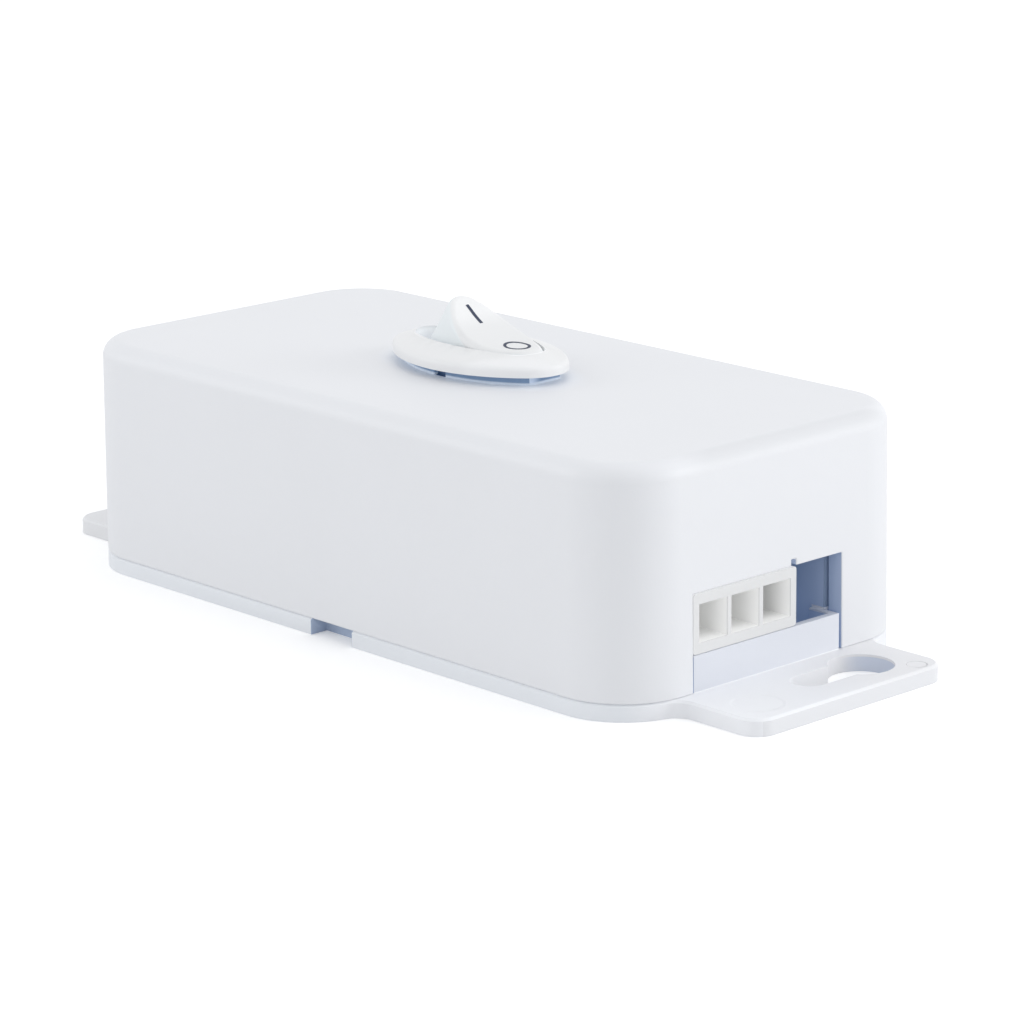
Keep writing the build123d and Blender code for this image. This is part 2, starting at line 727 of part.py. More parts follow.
# Contact blade: a shallow V strip that rocks on the feed terminal's rounded edge
with BuildPart() as contact_blade:
    with BuildSketch(blade_plane):
        rise = blade_half_length * blade_tangent
        with BuildLine():
            Polyline(
                (0, blade_under),
                (blade_half_length, blade_under + rise),
                (blade_half_length, blade_top + rise),
                (0, blade_top),
                (-blade_half_length, blade_top + rise),
                (-blade_half_length, blade_under + rise),
                close=True,
            )
        make_face()
        Circle(blade_top)
        Circle(blade_under, mode=Mode.SUBTRACT)
        with Locations((0, -blade_top)):
            Rectangle(4 * blade_top, 2 * blade_top, mode=Mode.SUBTRACT)
    extrude(amount=blade_width / 2, both=True)
    arm = turned_plane(fulcrum_z, -blade_tilt - blade_rise)
    rivet_plane = Plane(
        origin=arm.from_local_coords((contact_x, 0, blade_under)), x_dir=(0, 1, 0), z_dir=arm.z_dir
    )
    with BuildSketch(rivet_plane):
        Circle(contact_shank_radius)
    extrude(amount=2 * blade_thickness, both=True, mode=Mode.SUBTRACT)
contact_blade.part.label = "contact_blade"
export_step(contact_blade.part, "parts/contact_blade.step")


# Moving contact: a silver rivet through the blade's arm
with BuildPart() as moving_contact:
    with BuildSketch(rivet_plane):
        Circle(contact_pad_radius)
    extrude(amount=-contact_pad_thickness)
    with BuildSketch(rivet_plane):
        Circle(contact_shank_radius)
    extrude(amount=blade_thickness)
    with BuildSketch(rivet_plane.offset(blade_thickness)):
        Circle(contact_head_radius)
    extrude(amount=contact_head_thickness)
moving_contact.part.label = "moving_contact"
export_step(moving_contact.part, "parts/moving_contact.step")


# Feed terminal: a flat blade through the floor, with the see-saw's rounded edge on top
with BuildPart() as feed_terminal:
    with BuildSketch(Plane.YZ):
        with BuildLine():
            Polyline(
                (-terminal_width / 2, terminal_end_z),
                (terminal_width / 2, terminal_end_z),
                (terminal_width / 2, frame_floor_top),
                (fulcrum_width / 2, frame_floor_top),
                (fulcrum_width / 2, fulcrum_z),
                (-fulcrum_width / 2, fulcrum_z),
                (-fulcrum_width / 2, frame_floor_top),
                (-terminal_width / 2, frame_floor_top),
                close=True,
            )
        make_face()
        with Locations((0, terminal_end_z + terminal_drop / 3)):
            Circle(terminal_hole_radius, mode=Mode.SUBTRACT)
    extrude(amount=terminal_thickness / 2, both=True)
    with BuildSketch(Plane.XZ):
        with Locations((0, fulcrum_z)):
            Circle(fulcrum_radius)
    extrude(amount=fulcrum_width / 2, both=True)
feed_terminal.part.label = "feed_terminal"
export_step(feed_terminal.part, "parts/feed_terminal.step")


# Load terminal: bent strip that carries the fixed contact and leaves through the floor
fixed_contact_x = contact_x * cos(radians(blade_rise - blade_tilt)) + blade_under * sin(radians(blade_tilt))
load_tab_top = frame_floor_top + terminal_thickness
with BuildPart() as load_terminal:
    with BuildSketch(Plane.XZ) as strip:
        with BuildLine():
            Polyline(
                (load_tab_start, frame_floor_top),
                (load_terminal_x - terminal_thickness / 2, frame_floor_top),
                (load_terminal_x - terminal_thickness / 2, terminal_end_z),
                (load_terminal_x + terminal_thickness / 2, terminal_end_z),
                (load_terminal_x + terminal_thickness / 2, load_tab_top),
                (load_tab_start, load_tab_top),
                close=True,
            )
        make_face()
        bend = strip.vertices().group_by(Axis.Z)[-1].sort_by(Axis.X)[-1]
        fillet(bend, terminal_bend_radius)
    extrude(amount=terminal_width / 2, both=True)
    with BuildSketch(Plane(origin=(load_terminal_x, 0, terminal_end_z + terminal_drop / 3), z_dir=(1, 0, 0))):
        Circle(terminal_hole_radius)
    extrude(amount=terminal_thickness, both=True, mode=Mode.SUBTRACT)
    with BuildSketch(Plane.XY.offset(frame_floor_top)):
        with Locations((fixed_contact_x, 0)):
            Circle(contact_shank_radius)
    extrude(amount=terminal_thickness, mode=Mode.SUBTRACT)
load_terminal.part.label = "load_terminal"
export_step(load_terminal.part, "parts/load_terminal.step")


# Fixed contact: the silver rivet that the moving contact closes on
closed_contact_z = fulcrum_z + blade_under - contact_pad_thickness
with BuildPart() as fixed_contact:
    with BuildSketch(Plane.XY.offset(frame_floor_top)):
        with Locations((fixed_contact_x, 0)):
            Circle(contact_shank_radius)
    extrude(amount=terminal_thickness)
    with BuildSketch(Plane.XY.offset(load_tab_top)):
        with Locations((fixed_contact_x, 0)):
            Circle(contact_pad_radius)
    extrude(amount=closed_contact_z - contact_air - load_tab_top)
fixed_contact.part.label = "fixed_contact"
export_step(fixed_contact.part, "parts/fixed_contact.step")


# Push-on connectors and their insulating sleeves, one on each switch terminal
connector_top = frame_bottom - connector_clearance
connector_bottom = connector_top - connector_height
barrel_z = connector_bottom + connector_barrel_height
connector_half_width = terminal_width / 2 + slide_gap + connector_wall
sleeve_half_width = connector_half_width + slide_gap + sleeve_wall
barrel_end_y = connector_half_width + connector_barrel_length
for x, prefix in ((0, "feed"), (load_terminal_x, "load")):
    connector_depth = terminal_thickness + 2 * slide_gap + 2 * connector_wall
    with BuildPart() as connector:
        with BuildSketch(Plane.XY.offset(connector_bottom)):
            with Locations((x, 0)):
                RectangleRounded(connector_depth, 2 * connector_half_width, connector_wall)
        extrude(amount=connector_height)
        with BuildSketch(Plane(origin=(x, connector_half_width - connector_wall, barrel_z), z_dir=(0, 1, 0))):
            Circle(connector_barrel_radius)
        extrude(amount=connector_barrel_length + connector_wall)
        with BuildSketch(Plane.XY.offset(connector_bottom)):
            with Locations((x, 0)):
                Rectangle(terminal_thickness + 2 * slide_gap, terminal_width + 2 * slide_gap)
        extrude(amount=connector_height, mode=Mode.SUBTRACT)
        with BuildSketch(Plane(origin=(x, barrel_end_y, barrel_z), z_dir=(0, -1, 0))):
            Circle(lead_radius + slide_gap)
        extrude(amount=connector_barrel_length, mode=Mode.SUBTRACT)
    connector.part.label = f"{prefix}_connector"
    export_step(connector.part, f"parts/{prefix}_connector.step")

    sleeve_gap = slide_gap + sleeve_wall
    with BuildPart() as sleeve:
        with BuildSketch(Plane.XY.offset(connector_bottom)):
            with Locations((x, 0)):
                RectangleRounded(
                    connector_depth + 2 * sleeve_gap, 2 * sleeve_half_width, connector_wall + sleeve_gap
                )
        extrude(amount=connector_height)
        with BuildSketch(Plane(origin=(x, connector_half_width, barrel_z), z_dir=(0, 1, 0))):
            Circle(connector_barrel_radius + sleeve_gap)
        extrude(amount=connector_barrel_length)
        with BuildSketch(Plane.XY.offset(connector_bottom)):
            with Locations((x, 0)):
                RectangleRounded(
                    connector_depth + 2 * slide_gap,
                    2 * (connector_half_width + slide_gap),
                    connector_wall + slide_gap,
                )
        extrude(amount=connector_height, mode=Mode.SUBTRACT)
        with BuildSketch(Plane(origin=(x, 0, barrel_z), z_dir=(0, 1, 0))):
            Circle(connector_barrel_radius + slide_gap)
        extrude(amount=barrel_end_y, mode=Mode.SUBTRACT)
    sleeve.part.label = f"{prefix}_sleeve"
    export_step(sleeve.part, f"parts/{prefix}_sleeve.step")


# Terminal block: three towers on a slab, each bored through for a wire cage
pole_offsets = [(pole - 1) * block_pitch for pole in range(3)]
block_half_width = block_pitch + block_slab_margin
head_bottom = block_bottom + block_height - clamp_head_depth - clamp_head_height
with BuildPart() as terminal_block:
    with BuildSketch(Plane(origin=(block_x, 0, block_bottom), x_dir=(0, 1, 0), z_dir=(1, 0, 0))):
        with Locations((0, block_slab / 2)):
            Rectangle(2 * block_half_width, block_slab)
        with Locations(*[(y, block_height / 2) for y in pole_offsets]):
            RectangleRounded(tower_width, block_height, tower_edge_radius)
    extrude(amount=block_length / 2, both=True)
    with BuildSketch(Plane(origin=(block_x, 0, pole_z), x_dir=(0, 1, 0), z_dir=(1, 0, 0))):
        with Locations(*[(y, 0) for y in pole_offsets]):
            Circle(cage_radius + slide_gap)
    extrude(amount=block_length / 2, both=True, mode=Mode.SUBTRACT)
    with BuildSketch(Plane.XY.offset(pole_z)):
        with Locations(*[(block_x, y) for y in pole_offsets]):
            with GridLocations(clamp_screw_spacing, 0, 2, 1):
                Circle(clamp_head_radius + slide_gap)
    extrude(amount=block_height, mode=Mode.SUBTRACT)
    with BuildSketch(Plane.XY.offset(block_bottom)):
        with Locations((block_x, block_pitch / 2), (block_x, -block_pitch / 2)):
            Circle(block_screw_radius + slide_gap)
    extrude(amount=block_slab, mode=Mode.SUBTRACT)
terminal_block.part.label = "terminal_block"
export_step(terminal_block.part, "parts/terminal_block.step")


# Wire cages: brass tubes with a threaded hole for each clamp screw
with BuildPart() as wire_cages:
    with BuildSketch(Plane(origin=(block_x, 0, pole_z), x_dir=(0, 1, 0), z_dir=(1, 0, 0))):
        with Locations(*[(y, 0) for y in pole_offsets]):
            Circle(cage_radius)
            Circle(cage_bore_radius, mode=Mode.SUBTRACT)
    extrude(amount=cage_length / 2, both=True)
    with BuildSketch(Plane.XY.offset(pole_z)):
        with Locations(*[(block_x, y) for y in pole_offsets]):
            with GridLocations(clamp_screw_spacing, 0, 2, 1):
                Circle(clamp_screw_radius + slide_gap)
    extrude(amount=block_height, mode=Mode.SUBTRACT)
wire_cages.part.label = "wire_cages"
export_step(wire_cages.part, "parts/wire_cages.step")


# Clamp screws: two slotted screws on each pole
with BuildPart() as clamp_screws:
    with BuildSketch(Plane.XY.offset(pole_z + cage_bore_radius)):
        with Locations(*[(block_x, y) for y in pole_offsets]):
            with GridLocations(clamp_screw_spacing, 0, 2, 1):
                Circle(clamp_screw_radius)
    extrude(amount=head_bottom - pole_z - cage_bore_radius)
    with BuildSketch(Plane.XY.offset(head_bottom)):
        with Locations(*[(block_x, y) for y in pole_offsets]):
            with GridLocations(clamp_screw_spacing, 0, 2, 1):
                Circle(clamp_head_radius)
    extrude(amount=clamp_head_height)
    with BuildSketch(Plane.XY.offset(head_bottom + clamp_head_height)):
        with Locations(*[(block_x, y) for y in pole_offsets]):
            with GridLocations(clamp_screw_spacing, 0, 2, 1):
                Rectangle(screw_slot_width, 2 * clamp_head_radius)
    extrude(amount=-screw_slot_depth, mode=Mode.SUBTRACT)
clamp_screws.part.label = "clamp_screws"
export_step(clamp_screws.part, "parts/clamp_screws.step")


# Block screws: two slotted screws between the towers, into the bosses of the base
with BuildPart() as block_screws:
    slab_top = block_bottom + block_slab
    with BuildSketch(Plane.XY.offset(slab_top)):
        with Locations((block_x, block_pitch / 2), (block_x, -block_pitch / 2)):
            Circle(block_screw_radius)
    extrude(amount=-block_screw_length)
    with BuildSketch(Plane.XY.offset(slab_top)):
        with Locations((block_x, block_pitch / 2), (block_x, -block_pitch / 2)):
            Circle(block_screw_head_radius)
    extrude(amount=block_screw_head_height)
    with BuildSketch(Plane.XY.offset(slab_top + block_screw_head_height)):
        with Locations((block_x, block_pitch / 2), (block_x, -block_pitch / 2)):
            Rectangle(screw_slot_width, 2 * block_screw_head_radius)
    extrude(amount=-screw_slot_depth, mode=Mode.SUBTRACT)
block_screws.part.label = "block_screws"
export_step(block_screws.part, "parts/block_screws.step")


def bend_radii(points):
    """The largest even bend at each inner point of a lead's route."""
    route = [Vector(*point) for point in points]
    radii = []
    for before, here, after in zip(route, route[1:], route[2:]):
        turn = radians((here - before).get_angle(after - here))
        shorter = min((here - before).length, (after - here).length)
        radii.append(bend_share * shorter / tan(turn / 2))
    return radii


# Leads: insulated wires from the block to the switch and the receptacle
lead_start_x = block_front_x - lead_insert
lead_end_x = barrel_end_x + barrel_length - slide_gap
lead_low_z = base_thickness + lead_height
side_run = barrel_end_y + lead_swing
earth_y = receptacle_y - socket_pitch
line_y = receptacle_y + socket_pitch
under_y = -(sleeve_half_width + lead_pass)
turn_x = block_front_x + lead_turn
straight_x = block_front_x + lead_straight
climb_x = barrel_end_x - lead_climb
approach_x = barrel_end_x - lead_approach
routes = {
    "line_lead": [
        (lead_start_x, block_pitch, pole_z),
        (straight_x + lead_rise, block_pitch, pole_z),
        (turn_x, side_run, lead_low_z + lead_rise),
        (0, side_run, barrel_z),
        (0, connector_half_width + slide_gap, barrel_z),
    ],
    "switched_lead": [
        (load_terminal_x, connector_half_width + slide_gap, barrel_z),
        (load_terminal_x, side_run, barrel_z),
        (load_terminal_x + lead_swing, side_run, barrel_z + lead_rise),
        (approach_x, line_y, receptacle_z),
        (lead_end_x, line_y, receptacle_z),
    ],
    "neutral_lead": [
        (lead_start_x, 0, pole_z),
        (straight_x, 0, pole_z),
        (turn_x, under_y, lead_low_z),
        (climb_x, under_y, lead_low_z),
        (approach_x, receptacle_y, receptacle_z),
        (lead_end_x, receptacle_y, receptacle_z),
    ],
    "earth_lead": [
        (lead_start_x, -block_pitch, pole_z),
        (straight_x, -block_pitch, pole_z),
        (turn_x, under_y - lead_spacing, lead_low_z),
        (climb_x, under_y - lead_spacing, lead_low_z),
        (approach_x, earth_y, receptacle_z),
        (lead_end_x, earth_y, receptacle_z),
    ],
}
for name, points in routes.items():
    radii = bend_radii(points)
    with BuildPart() as lead:
        with BuildLine() as route:
            FilletPolyline(*points, radius=radii)
        with BuildSketch(Plane(origin=route.line @ 0, z_dir=route.line % 0)):
            RegularPolygon(lead_radius, lead_sides)
        sweep(path=route.line)
    lead.part.label = name
    export_step(lead.part, f"parts/{name}.step")
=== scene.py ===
import bmesh
import bpy
from math import cos, pi, radians, sin, sqrt, tan
from mathutils import Matrix, Vector


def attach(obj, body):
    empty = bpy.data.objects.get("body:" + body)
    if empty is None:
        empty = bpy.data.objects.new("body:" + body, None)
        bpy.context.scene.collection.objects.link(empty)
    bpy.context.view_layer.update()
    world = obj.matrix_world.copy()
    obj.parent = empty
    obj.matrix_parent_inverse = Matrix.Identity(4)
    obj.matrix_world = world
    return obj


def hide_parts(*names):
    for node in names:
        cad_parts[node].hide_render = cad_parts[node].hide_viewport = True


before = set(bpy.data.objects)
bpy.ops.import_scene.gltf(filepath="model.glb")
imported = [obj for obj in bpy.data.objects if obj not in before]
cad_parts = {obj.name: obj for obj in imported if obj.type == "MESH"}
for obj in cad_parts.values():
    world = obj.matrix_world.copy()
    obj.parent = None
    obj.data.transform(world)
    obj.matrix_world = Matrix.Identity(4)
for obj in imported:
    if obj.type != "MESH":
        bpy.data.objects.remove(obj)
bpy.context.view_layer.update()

# Camera: a long lens half a metre away, a little above the box and turned towards its socket
# end, as in the photograph. Its turn, height and slight roll were fitted to the box's edges.
view_turn = radians(47.1525)
view_rise = radians(15.1385)
view_roll = radians(0.651)
view_distance = 0.498891
aim_right = 0.0037135
aim_up = 0.0108766
sensor_width = 36
focal_pixels = 4012.57
picture_pixels = 1024
nearest_seen = 0.01
sideways = Vector((cos(view_turn), sin(view_turn), 0))
backward = Vector((
    sin(view_turn) * cos(view_rise),
    -cos(view_turn) * cos(view_rise),
    sin(view_rise),
))
upward = backward.cross(sideways)
aim = sideways * aim_right + upward * aim_up
picture_right = sideways * cos(view_roll) - upward * sin(view_roll)
picture_up = sideways * sin(view_roll) + upward * cos(view_roll)
camera = bpy.data.objects.new("camera", bpy.data.cameras.new("camera"))
camera.data.sensor_width = sensor_width
camera.data.lens = sensor_width * focal_pixels / picture_pixels
camera.data.clip_start = nearest_seen
camera.matrix_world = Matrix.Translation(aim + backward * view_distance) @ Matrix(
    (picture_right, picture_up, backward)
).transposed().to_4x4()
bpy.context.scene.collection.objects.link(camera)
bpy.context.scene.camera = camera
bpy.context.scene.view_settings.view_transform = "Standard"


# Floor and light: a white sweep in an even, slightly cool surround, with three broad soft
# lamps, one above the box and one low beyond each side of it, so that the casing shows its
# own pale tones.
floor_size = 6.0
floor_white = (0.86, 0.86, 0.86, 1)
floor_glow = 0.25
surround_light = 0.86
surround_tint = (0.965, 0.98, 1.0, 1)
pure_white = (1, 1, 1, 1)


class Flow:
    """A shader value that can be added, multiplied and so on as a number can."""

    def __init__(self, shading, socket):
        self.shading = shading
        self.socket = socket

    def reckon(self, operation, *values):
        return self.shading.node(
            "ShaderNodeMath", {"operation": operation}, dict(enumerate(values))
        )

    def __add__(self, other):
        return self.reckon("ADD", self, other)

    def __sub__(self, other):
        return self.reckon("SUBTRACT", self, other)

    def __rsub__(self, other):
        return self.reckon("SUBTRACT", other, self)

    def __mul__(self, other):
        return self.reckon("MULTIPLY", self, other)

    def __gt__(self, other):
        return self.reckon("GREATER_THAN", self, other)

    def __lt__(self, other):
        return self.reckon("LESS_THAN", self, other)

    def __abs__(self):
        return self.reckon("ABSOLUTE", self)

    def at_least(self, other):
        return self.reckon("MAXIMUM", self, other)

    def fade(self, start, end):
        """Runs smoothly from 0 at start to 1 at end."""
        return self.shading.node(
            "ShaderNodeMapRange",
            {"interpolation_type": "SMOOTHSTEP"},
            {"Value": self, "From Min": start, "From Max": end},
        )

    __radd__ = __add__
    __rmul__ = __mul__


class Shading:
    """A shader in the making: one surface or background node and whatever varies it."""

    def __init__(self, owner, surface):
        owner.use_nodes = True
        self.tree = owner.node_tree
        self.surface = self.tree.nodes[surface]

    def node(self, kind, settings=None, values=None, output=0):
        made = self.tree.nodes.new(kind)
        for name, value in (settings or {}).items():
            setattr(made, name, value)
        for socket, value in (values or {}).items():
            if isinstance(value, Flow):
                self.tree.links.new(value.socket, made.inputs[socket])
            else:
                made.inputs[socket].default_value = value
        return Flow(self, made.outputs[output])

    def ray(self, kind):
        return self.node("ShaderNodeLightPath", output=kind)

    def blend(self, share, first, second):
        sockets = {"Factor": share, 6: first, 7: second}
        return self.node("ShaderNodeMix", {"data_type": "RGBA"}, sockets, output=2)

    def layered(self, tone, *layers):
        """A tone with further ones laid over it, each where its own share is 1."""
        for share, layer in layers:
            tone = self.blend(share, tone, layer)
        return tone

    def feed(self, socket, flow):
        self.tree.links.new(flow.socket, self.surface.inputs[socket])


class Finish(Shading):
    """The finish of a piece: its material, the fixed values and the patterns on it."""

    def __init__(self, name, fixed):
        self.material = bpy.data.materials.new(name)
        super().__init__(self.material, "Principled BSDF")
        for socket, value in fixed.items():
            self.surface.inputs[socket].default_value = value

    def place(self):
        return self.node("ShaderNodeTexCoord", output="Object")

    def along(self, place):
        """The x, y and z of a place."""
        return [
            self.node("ShaderNodeSeparateXYZ", values={"Vector": place}, output=axis)
            for axis in "XYZ"
        ]

    def noise(self, place, size, detail):
        return self.node(
            "ShaderNodeTexNoise", values={"Vector": place, "Scale": 1 / size, "Detail": detail}
        )

    def relief(self, height):
        """Bumps of the given height in metres."""
        bump = {"Height": height, "Distance": 1.0, "Strength": 1.0}
        self.feed("Normal", self.node("ShaderNodeBump", values=bump))

    # Emission fixed at strength 1, which the pieces use for painted glow.
    def glow(self, colour):
        self.feed("Emission Color", colour)
        self.surface.inputs["Emission Strength"].default_value = 1.0


bpy.ops.mesh.primitive_plane_add(size=floor_size)
floor = bpy.context.object
floor.name = "floor"
white_sweep = Finish(
    "white_sweep", {"Base Color": floor_white, "Roughness": 1.0, "Specular IOR Level": 0.0}
)
sweep_glow = white_sweep.node(
    "ShaderNodeEmission",
    values={"Color": pure_white, "Strength": white_sweep.ray("Is Camera Ray") * floor_glow},
)
plain_sweep = Flow(white_sweep, white_sweep.surface.outputs[0])
lit_sweep = white_sweep.node("ShaderNodeAddShader", values={0: plain_sweep, 1: sweep_glow})
sweep_output = white_sweep.tree.nodes["Material Output"]
white_sweep.tree.links.new(lit_sweep.socket, sweep_output.inputs["Surface"])
floor.data.materials.append(white_sweep.material)

world = bpy.data.worlds.new("surround")
bpy.context.scene.world = world
surround = Shading(world, "Background")
direct = surround.ray("Is Camera Ray").at_least(surround.ray("Is Glossy Ray"))
direct = direct.at_least(surround.ray("Is Transmission Ray"))
surround.feed("Color", surround.blend(direct, surround_tint, pure_white))
surround.feed("Strength", direct * (1 - surround_light) + surround_light)


def lamp(name, place, size, power):
    """A soft square lamp that faces the box."""
    light = bpy.data.lights.new(name, "AREA")
    light.size = size
    light.energy = power
    stand = bpy.data.objects.new(name, light)
    stand.location = place
    stand.rotation_euler = (-Vector(place)).to_track_quat("-Z", "Y").to_euler()
    bpy.context.scene.collection.objects.link(stand)


lamp("overhead", (0.35, 0.25, 1.1), 0.9, 1.6)
lamp("end_fill", (0.85, 0.85, 0.3), 0.6, 4.1)
lamp("side_fill", (-0.85, -0.85, 0.4), 0.6, 2.4)


# Base plate: the flat moulded plate that screws to the wall, with a keyhole ear at each end,
# four snap hooks for the cover and the upstand below the receptacle. One moulding in white
# polycarbonate with a fine spark grain and two round ejector marks on the near ear. Its ears,
# its edge and its upstand carry painted shade, its recesses painted shadow, and its inside a
# painted dusky blue shade with a weak painted glow.
base_white = (0.864, 0.872, 0.898, 1)
# Painted shade: darker tones for the parts of the plate where less light falls.
ear_inlet_painted_shade = (0.814, 0.812, 0.828, 1)
plate_edge_painted_shade = (0.800, 0.822, 0.855, 1)
far_ear_painted_shade = (0.765, 0.768, 0.782, 1)
wall_end_shadow = (0.24, 0.31, 0.44, 1)
keyhole_shadow = (0.64, 0.69, 0.80, 1)
ear_end_painted_shade = (0.788, 0.793, 0.814, 1)
pry_shadow = (0.50, 0.59, 0.75, 1)
upstand_painted_shade = (0.715, 0.735, 0.79, 1)
# Painted shade and painted glow for the inside of the box.
casing_shadow = (0.395, 0.457, 0.59, 1)
casing_painted_glow = (0.024, 0.040, 0.072, 1)
no_glow = (0, 0, 0, 1)

casing_half_length = 0.0500
casing_half_width = 0.0248
casing_corner = 0.0094
casing_draft = tan(radians(0.58))
casing_skin = 0.00012
plate_top = 0.0021
inside_bottom = plate_top + 0.00004
base_inside_top = 0.0296
ear_end_start = 0.0618
ear_side_top = plate_top - 0.0003
inlet_side_fade = (-0.0060, 0.0100)
keyhole_x = 0.0557
keyhole_y = 0.00825
keyhole_radius = 0.0041
recess_fade = (0.0085, 0.0118)
plate_edge_fade = (casing_half_length, casing_half_length - 0.0030)
plate_skin = 0.00002
pry_half_width = 0.0038
pry_y = 0.0222
cutout_half_width = 0.0140
upstand_back = 0.0455
upstand_bottom = plate_top + 0.0001
upstand_top = 0.0065
upstand_rim = 0.0002
wall_end_x = 0.0474
ejector_marks = (
    # x, y, radius and depth
    (0.0574, -0.0109, 0.0030, 0.00007),
    (0.0603, 0.0127, 0.0012, 0.00016),
)
mark_edge = 0.08
mark_bottom = plate_top - 0.0005

mottle_size = 0.018
mottle_light = 1.01
mottle_dark = 0.985
spark_grain = 0.0003
spark_depth = 0.000006
least_roughness = 0.40
roughness_range = 0.08
base_edge = 0.00022
weld_distance = 0.000001
flat_angle = radians(1)
smooth_angle = radians(32)
edge_angle = radians(40)


def inside_casing(finish, place, top):
    """1 within the box's outer skin, whose walls lean in as they rise, and 0 outside it."""
    x, y, z = finish.along(place)
    lean = (z - plate_top) * casing_draft + casing_skin
    past_x = (abs(x) + lean - (casing_half_length - casing_corner)).at_least(0)
    past_y = (abs(y) + lean - (casing_half_width - casing_corner)).at_least(0)
    within = past_x * past_x + past_y * past_y < casing_corner * casing_corner
    return within * (z > inside_bottom) * (z < top)


def dusky(finish, share, tone, glow):
    """Paints the given share of a tone and a glow as the dusky blue shade and weak glow inside the
    box.
    """
    return finish.blend(share, tone, casing_shadow), finish.blend(share, glow, casing_painted_glow)


def moulded_plastic(name, colour, grain_depth):
    """White moulded plastic with faint mottling and a fine spark grain."""
    finish = Finish(name, {"IOR": 1.5, "Specular IOR Level": 0.5})
    place = finish.place()
    mottle = finish.noise(place, mottle_size, detail=3.0)
    grain = finish.noise(place, spark_grain, detail=2.0)
    light_tone = tuple(min(1.0, part * mottle_light) for part in colour[:3]) + (1,)
    dark_tone = tuple(part * mottle_dark for part in colour[:3]) + (1,)
    roughness = least_roughness + mottle * roughness_range + grain * roughness_range
    finish.feed("Roughness", roughness)
    return finish, place, finish.blend(mottle, dark_tone, light_tone), grain * grain_depth


def softened(node, body, edge, finish):
    """Stands a copy of a CAD piece in for it, its sharp edges rounded as a mould leaves them."""
    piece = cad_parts[node].copy()
    piece.data = piece.data.copy()
    piece.name = node + "_moulding"
    piece.parent = None
    piece.matrix_world = Matrix()
    form = bmesh.new()
    form.from_mesh(piece.data)
    bmesh.ops.remove_doubles(form, verts=form.verts, dist=weld_distance)
    bmesh.ops.dissolve_limit(form, angle_limit=flat_angle, verts=form.verts, edges=form.edges)
    form.to_mesh(piece.data)
    form.free()
    piece.data.polygons.foreach_set("use_smooth", [True] * len(piece.data.polygons))
    piece.data.set_sharp_from_angle(angle=smooth_angle)
    bpy.context.scene.collection.objects.link(piece)
    bevel = piece.modifiers.new("mould_edge", "BEVEL")
    bevel.width = edge
    bevel.segments = 2
    bevel.limit_method = "ANGLE"
    bevel.angle_limit = edge_angle
    bevel.harden_normals = True
    piece.data.materials.clear()
    piece.data.materials.append(finish.material)
    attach(piece, body)
    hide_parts(node)


base_plastic, place, base_tone, base_rise = moulded_plastic(
    "base_plastic", base_white, spark_depth
)
x, y, z = base_plastic.along(place)
from_keyhole_x = x - keyhole_x
from_keyhole_y = y - keyhole_y
from_keyhole = from_keyhole_x * from_keyhole_x + from_keyhole_y * from_keyhole_y
side_face = z < ear_side_top
at_cutout = abs(y) < cutout_half_width
above_upstand = z > upstand_top + upstand_rim
at_upstand = (x > upstand_back) * (z < upstand_top + upstand_rim) * at_cutout
wall_end = (x > wall_end_x) * above_upstand * at_cutout
ear_inlet_side = (x > casing_half_length) * y.fade(*inlet_side_fade)
plate_edge = (z < plate_top - plate_skin) * x.fade(*plate_edge_fade)
far_ear = x < -casing_half_length
recess = y.fade(*recess_fade) * side_face * (from_keyhole < keyhole_radius**2)
ear_end = side_face * (x > ear_end_start)
pry_notch = (abs(x) < pry_half_width) * (abs(y) > pry_y) * (z < plate_top + plate_skin)
# Painted shade and shadow: darker tones where less light falls on the ears, the plate's edge and
# the upstand, and painted shadow at the inlet wall's end, the keyhole's recess and the pry notch.
base_tone = base_plastic.layered(
    base_tone,
    (ear_inlet_side, ear_inlet_painted_shade),
    (plate_edge, plate_edge_painted_shade),
    (far_ear, far_ear_painted_shade),
    (wall_end, wall_end_shadow),
    (recess, keyhole_shadow),
    (ear_end, ear_end_painted_shade),
    (pry_notch, pry_shadow),
    (at_upstand * (z > upstand_bottom), upstand_painted_shade),
)
# Painted dusky blue shade and a weak painted glow inside the box.
inside = inside_casing(base_plastic, place, base_inside_top) * (1 - wall_end)
inside = inside * (1 - at_upstand * (z > upstand_top - upstand_rim))
base_tone, base_painted_glow = dusky(base_plastic, inside, base_tone, no_glow)
base_plastic.feed("Base Color", base_tone)
base_plastic.glow(base_painted_glow)
for mark_x, mark_y, mark_radius, mark_depth in ejector_marks:
    across = (x - mark_x) * (x - mark_x) + (y - mark_y) * (y - mark_y)
    outer = mark_radius * (1 + mark_edge)
    inner = mark_radius * (1 - mark_edge)
    disc = across.fade(outer**2, inner**2) * (z > mark_bottom)
    base_rise = base_rise - disc * mark_depth
base_plastic.relief(base_rise)
softened("base_plate", "housing", base_edge, base_plastic)


# Cover: the drafted shell that snaps down over the base, moulded in the same white plastic.
# Deep inside, where little light gets in, its walls carry a painted dusky blue shade with a weak
# painted glow. Its rounded top edge at the socket end is painted darker, as painted shade, and
# its jambs and a ring round the switch's neck carry a painted glow.
cover_white = (0.785, 0.792, 0.815, 1)
end_edge_painted_shade = (0.725, 0.732, 0.752, 1)
jamb_painted_glow = (0.12, 0.125, 0.14, 1)
neck_painted_bounce = (0.05, 0.065, 0.085, 1)
cover_inside_top = 0.0274
knockout_depth = 0.0012
jamb_x = 0.0478
jamb_y = 0.0034
end_edge_x = 0.0475
end_edge_z = 0.0275
end_edge_fade = (0.0000002, 0.0000022)
end_corner_fade = (-0.0155, -0.0090)
neck_length = 0.0124
neck_width = 0.0066
neck_fade = (1.9, 1.0)
neck_bottom = 0.0290
cover_edge = 0.00015
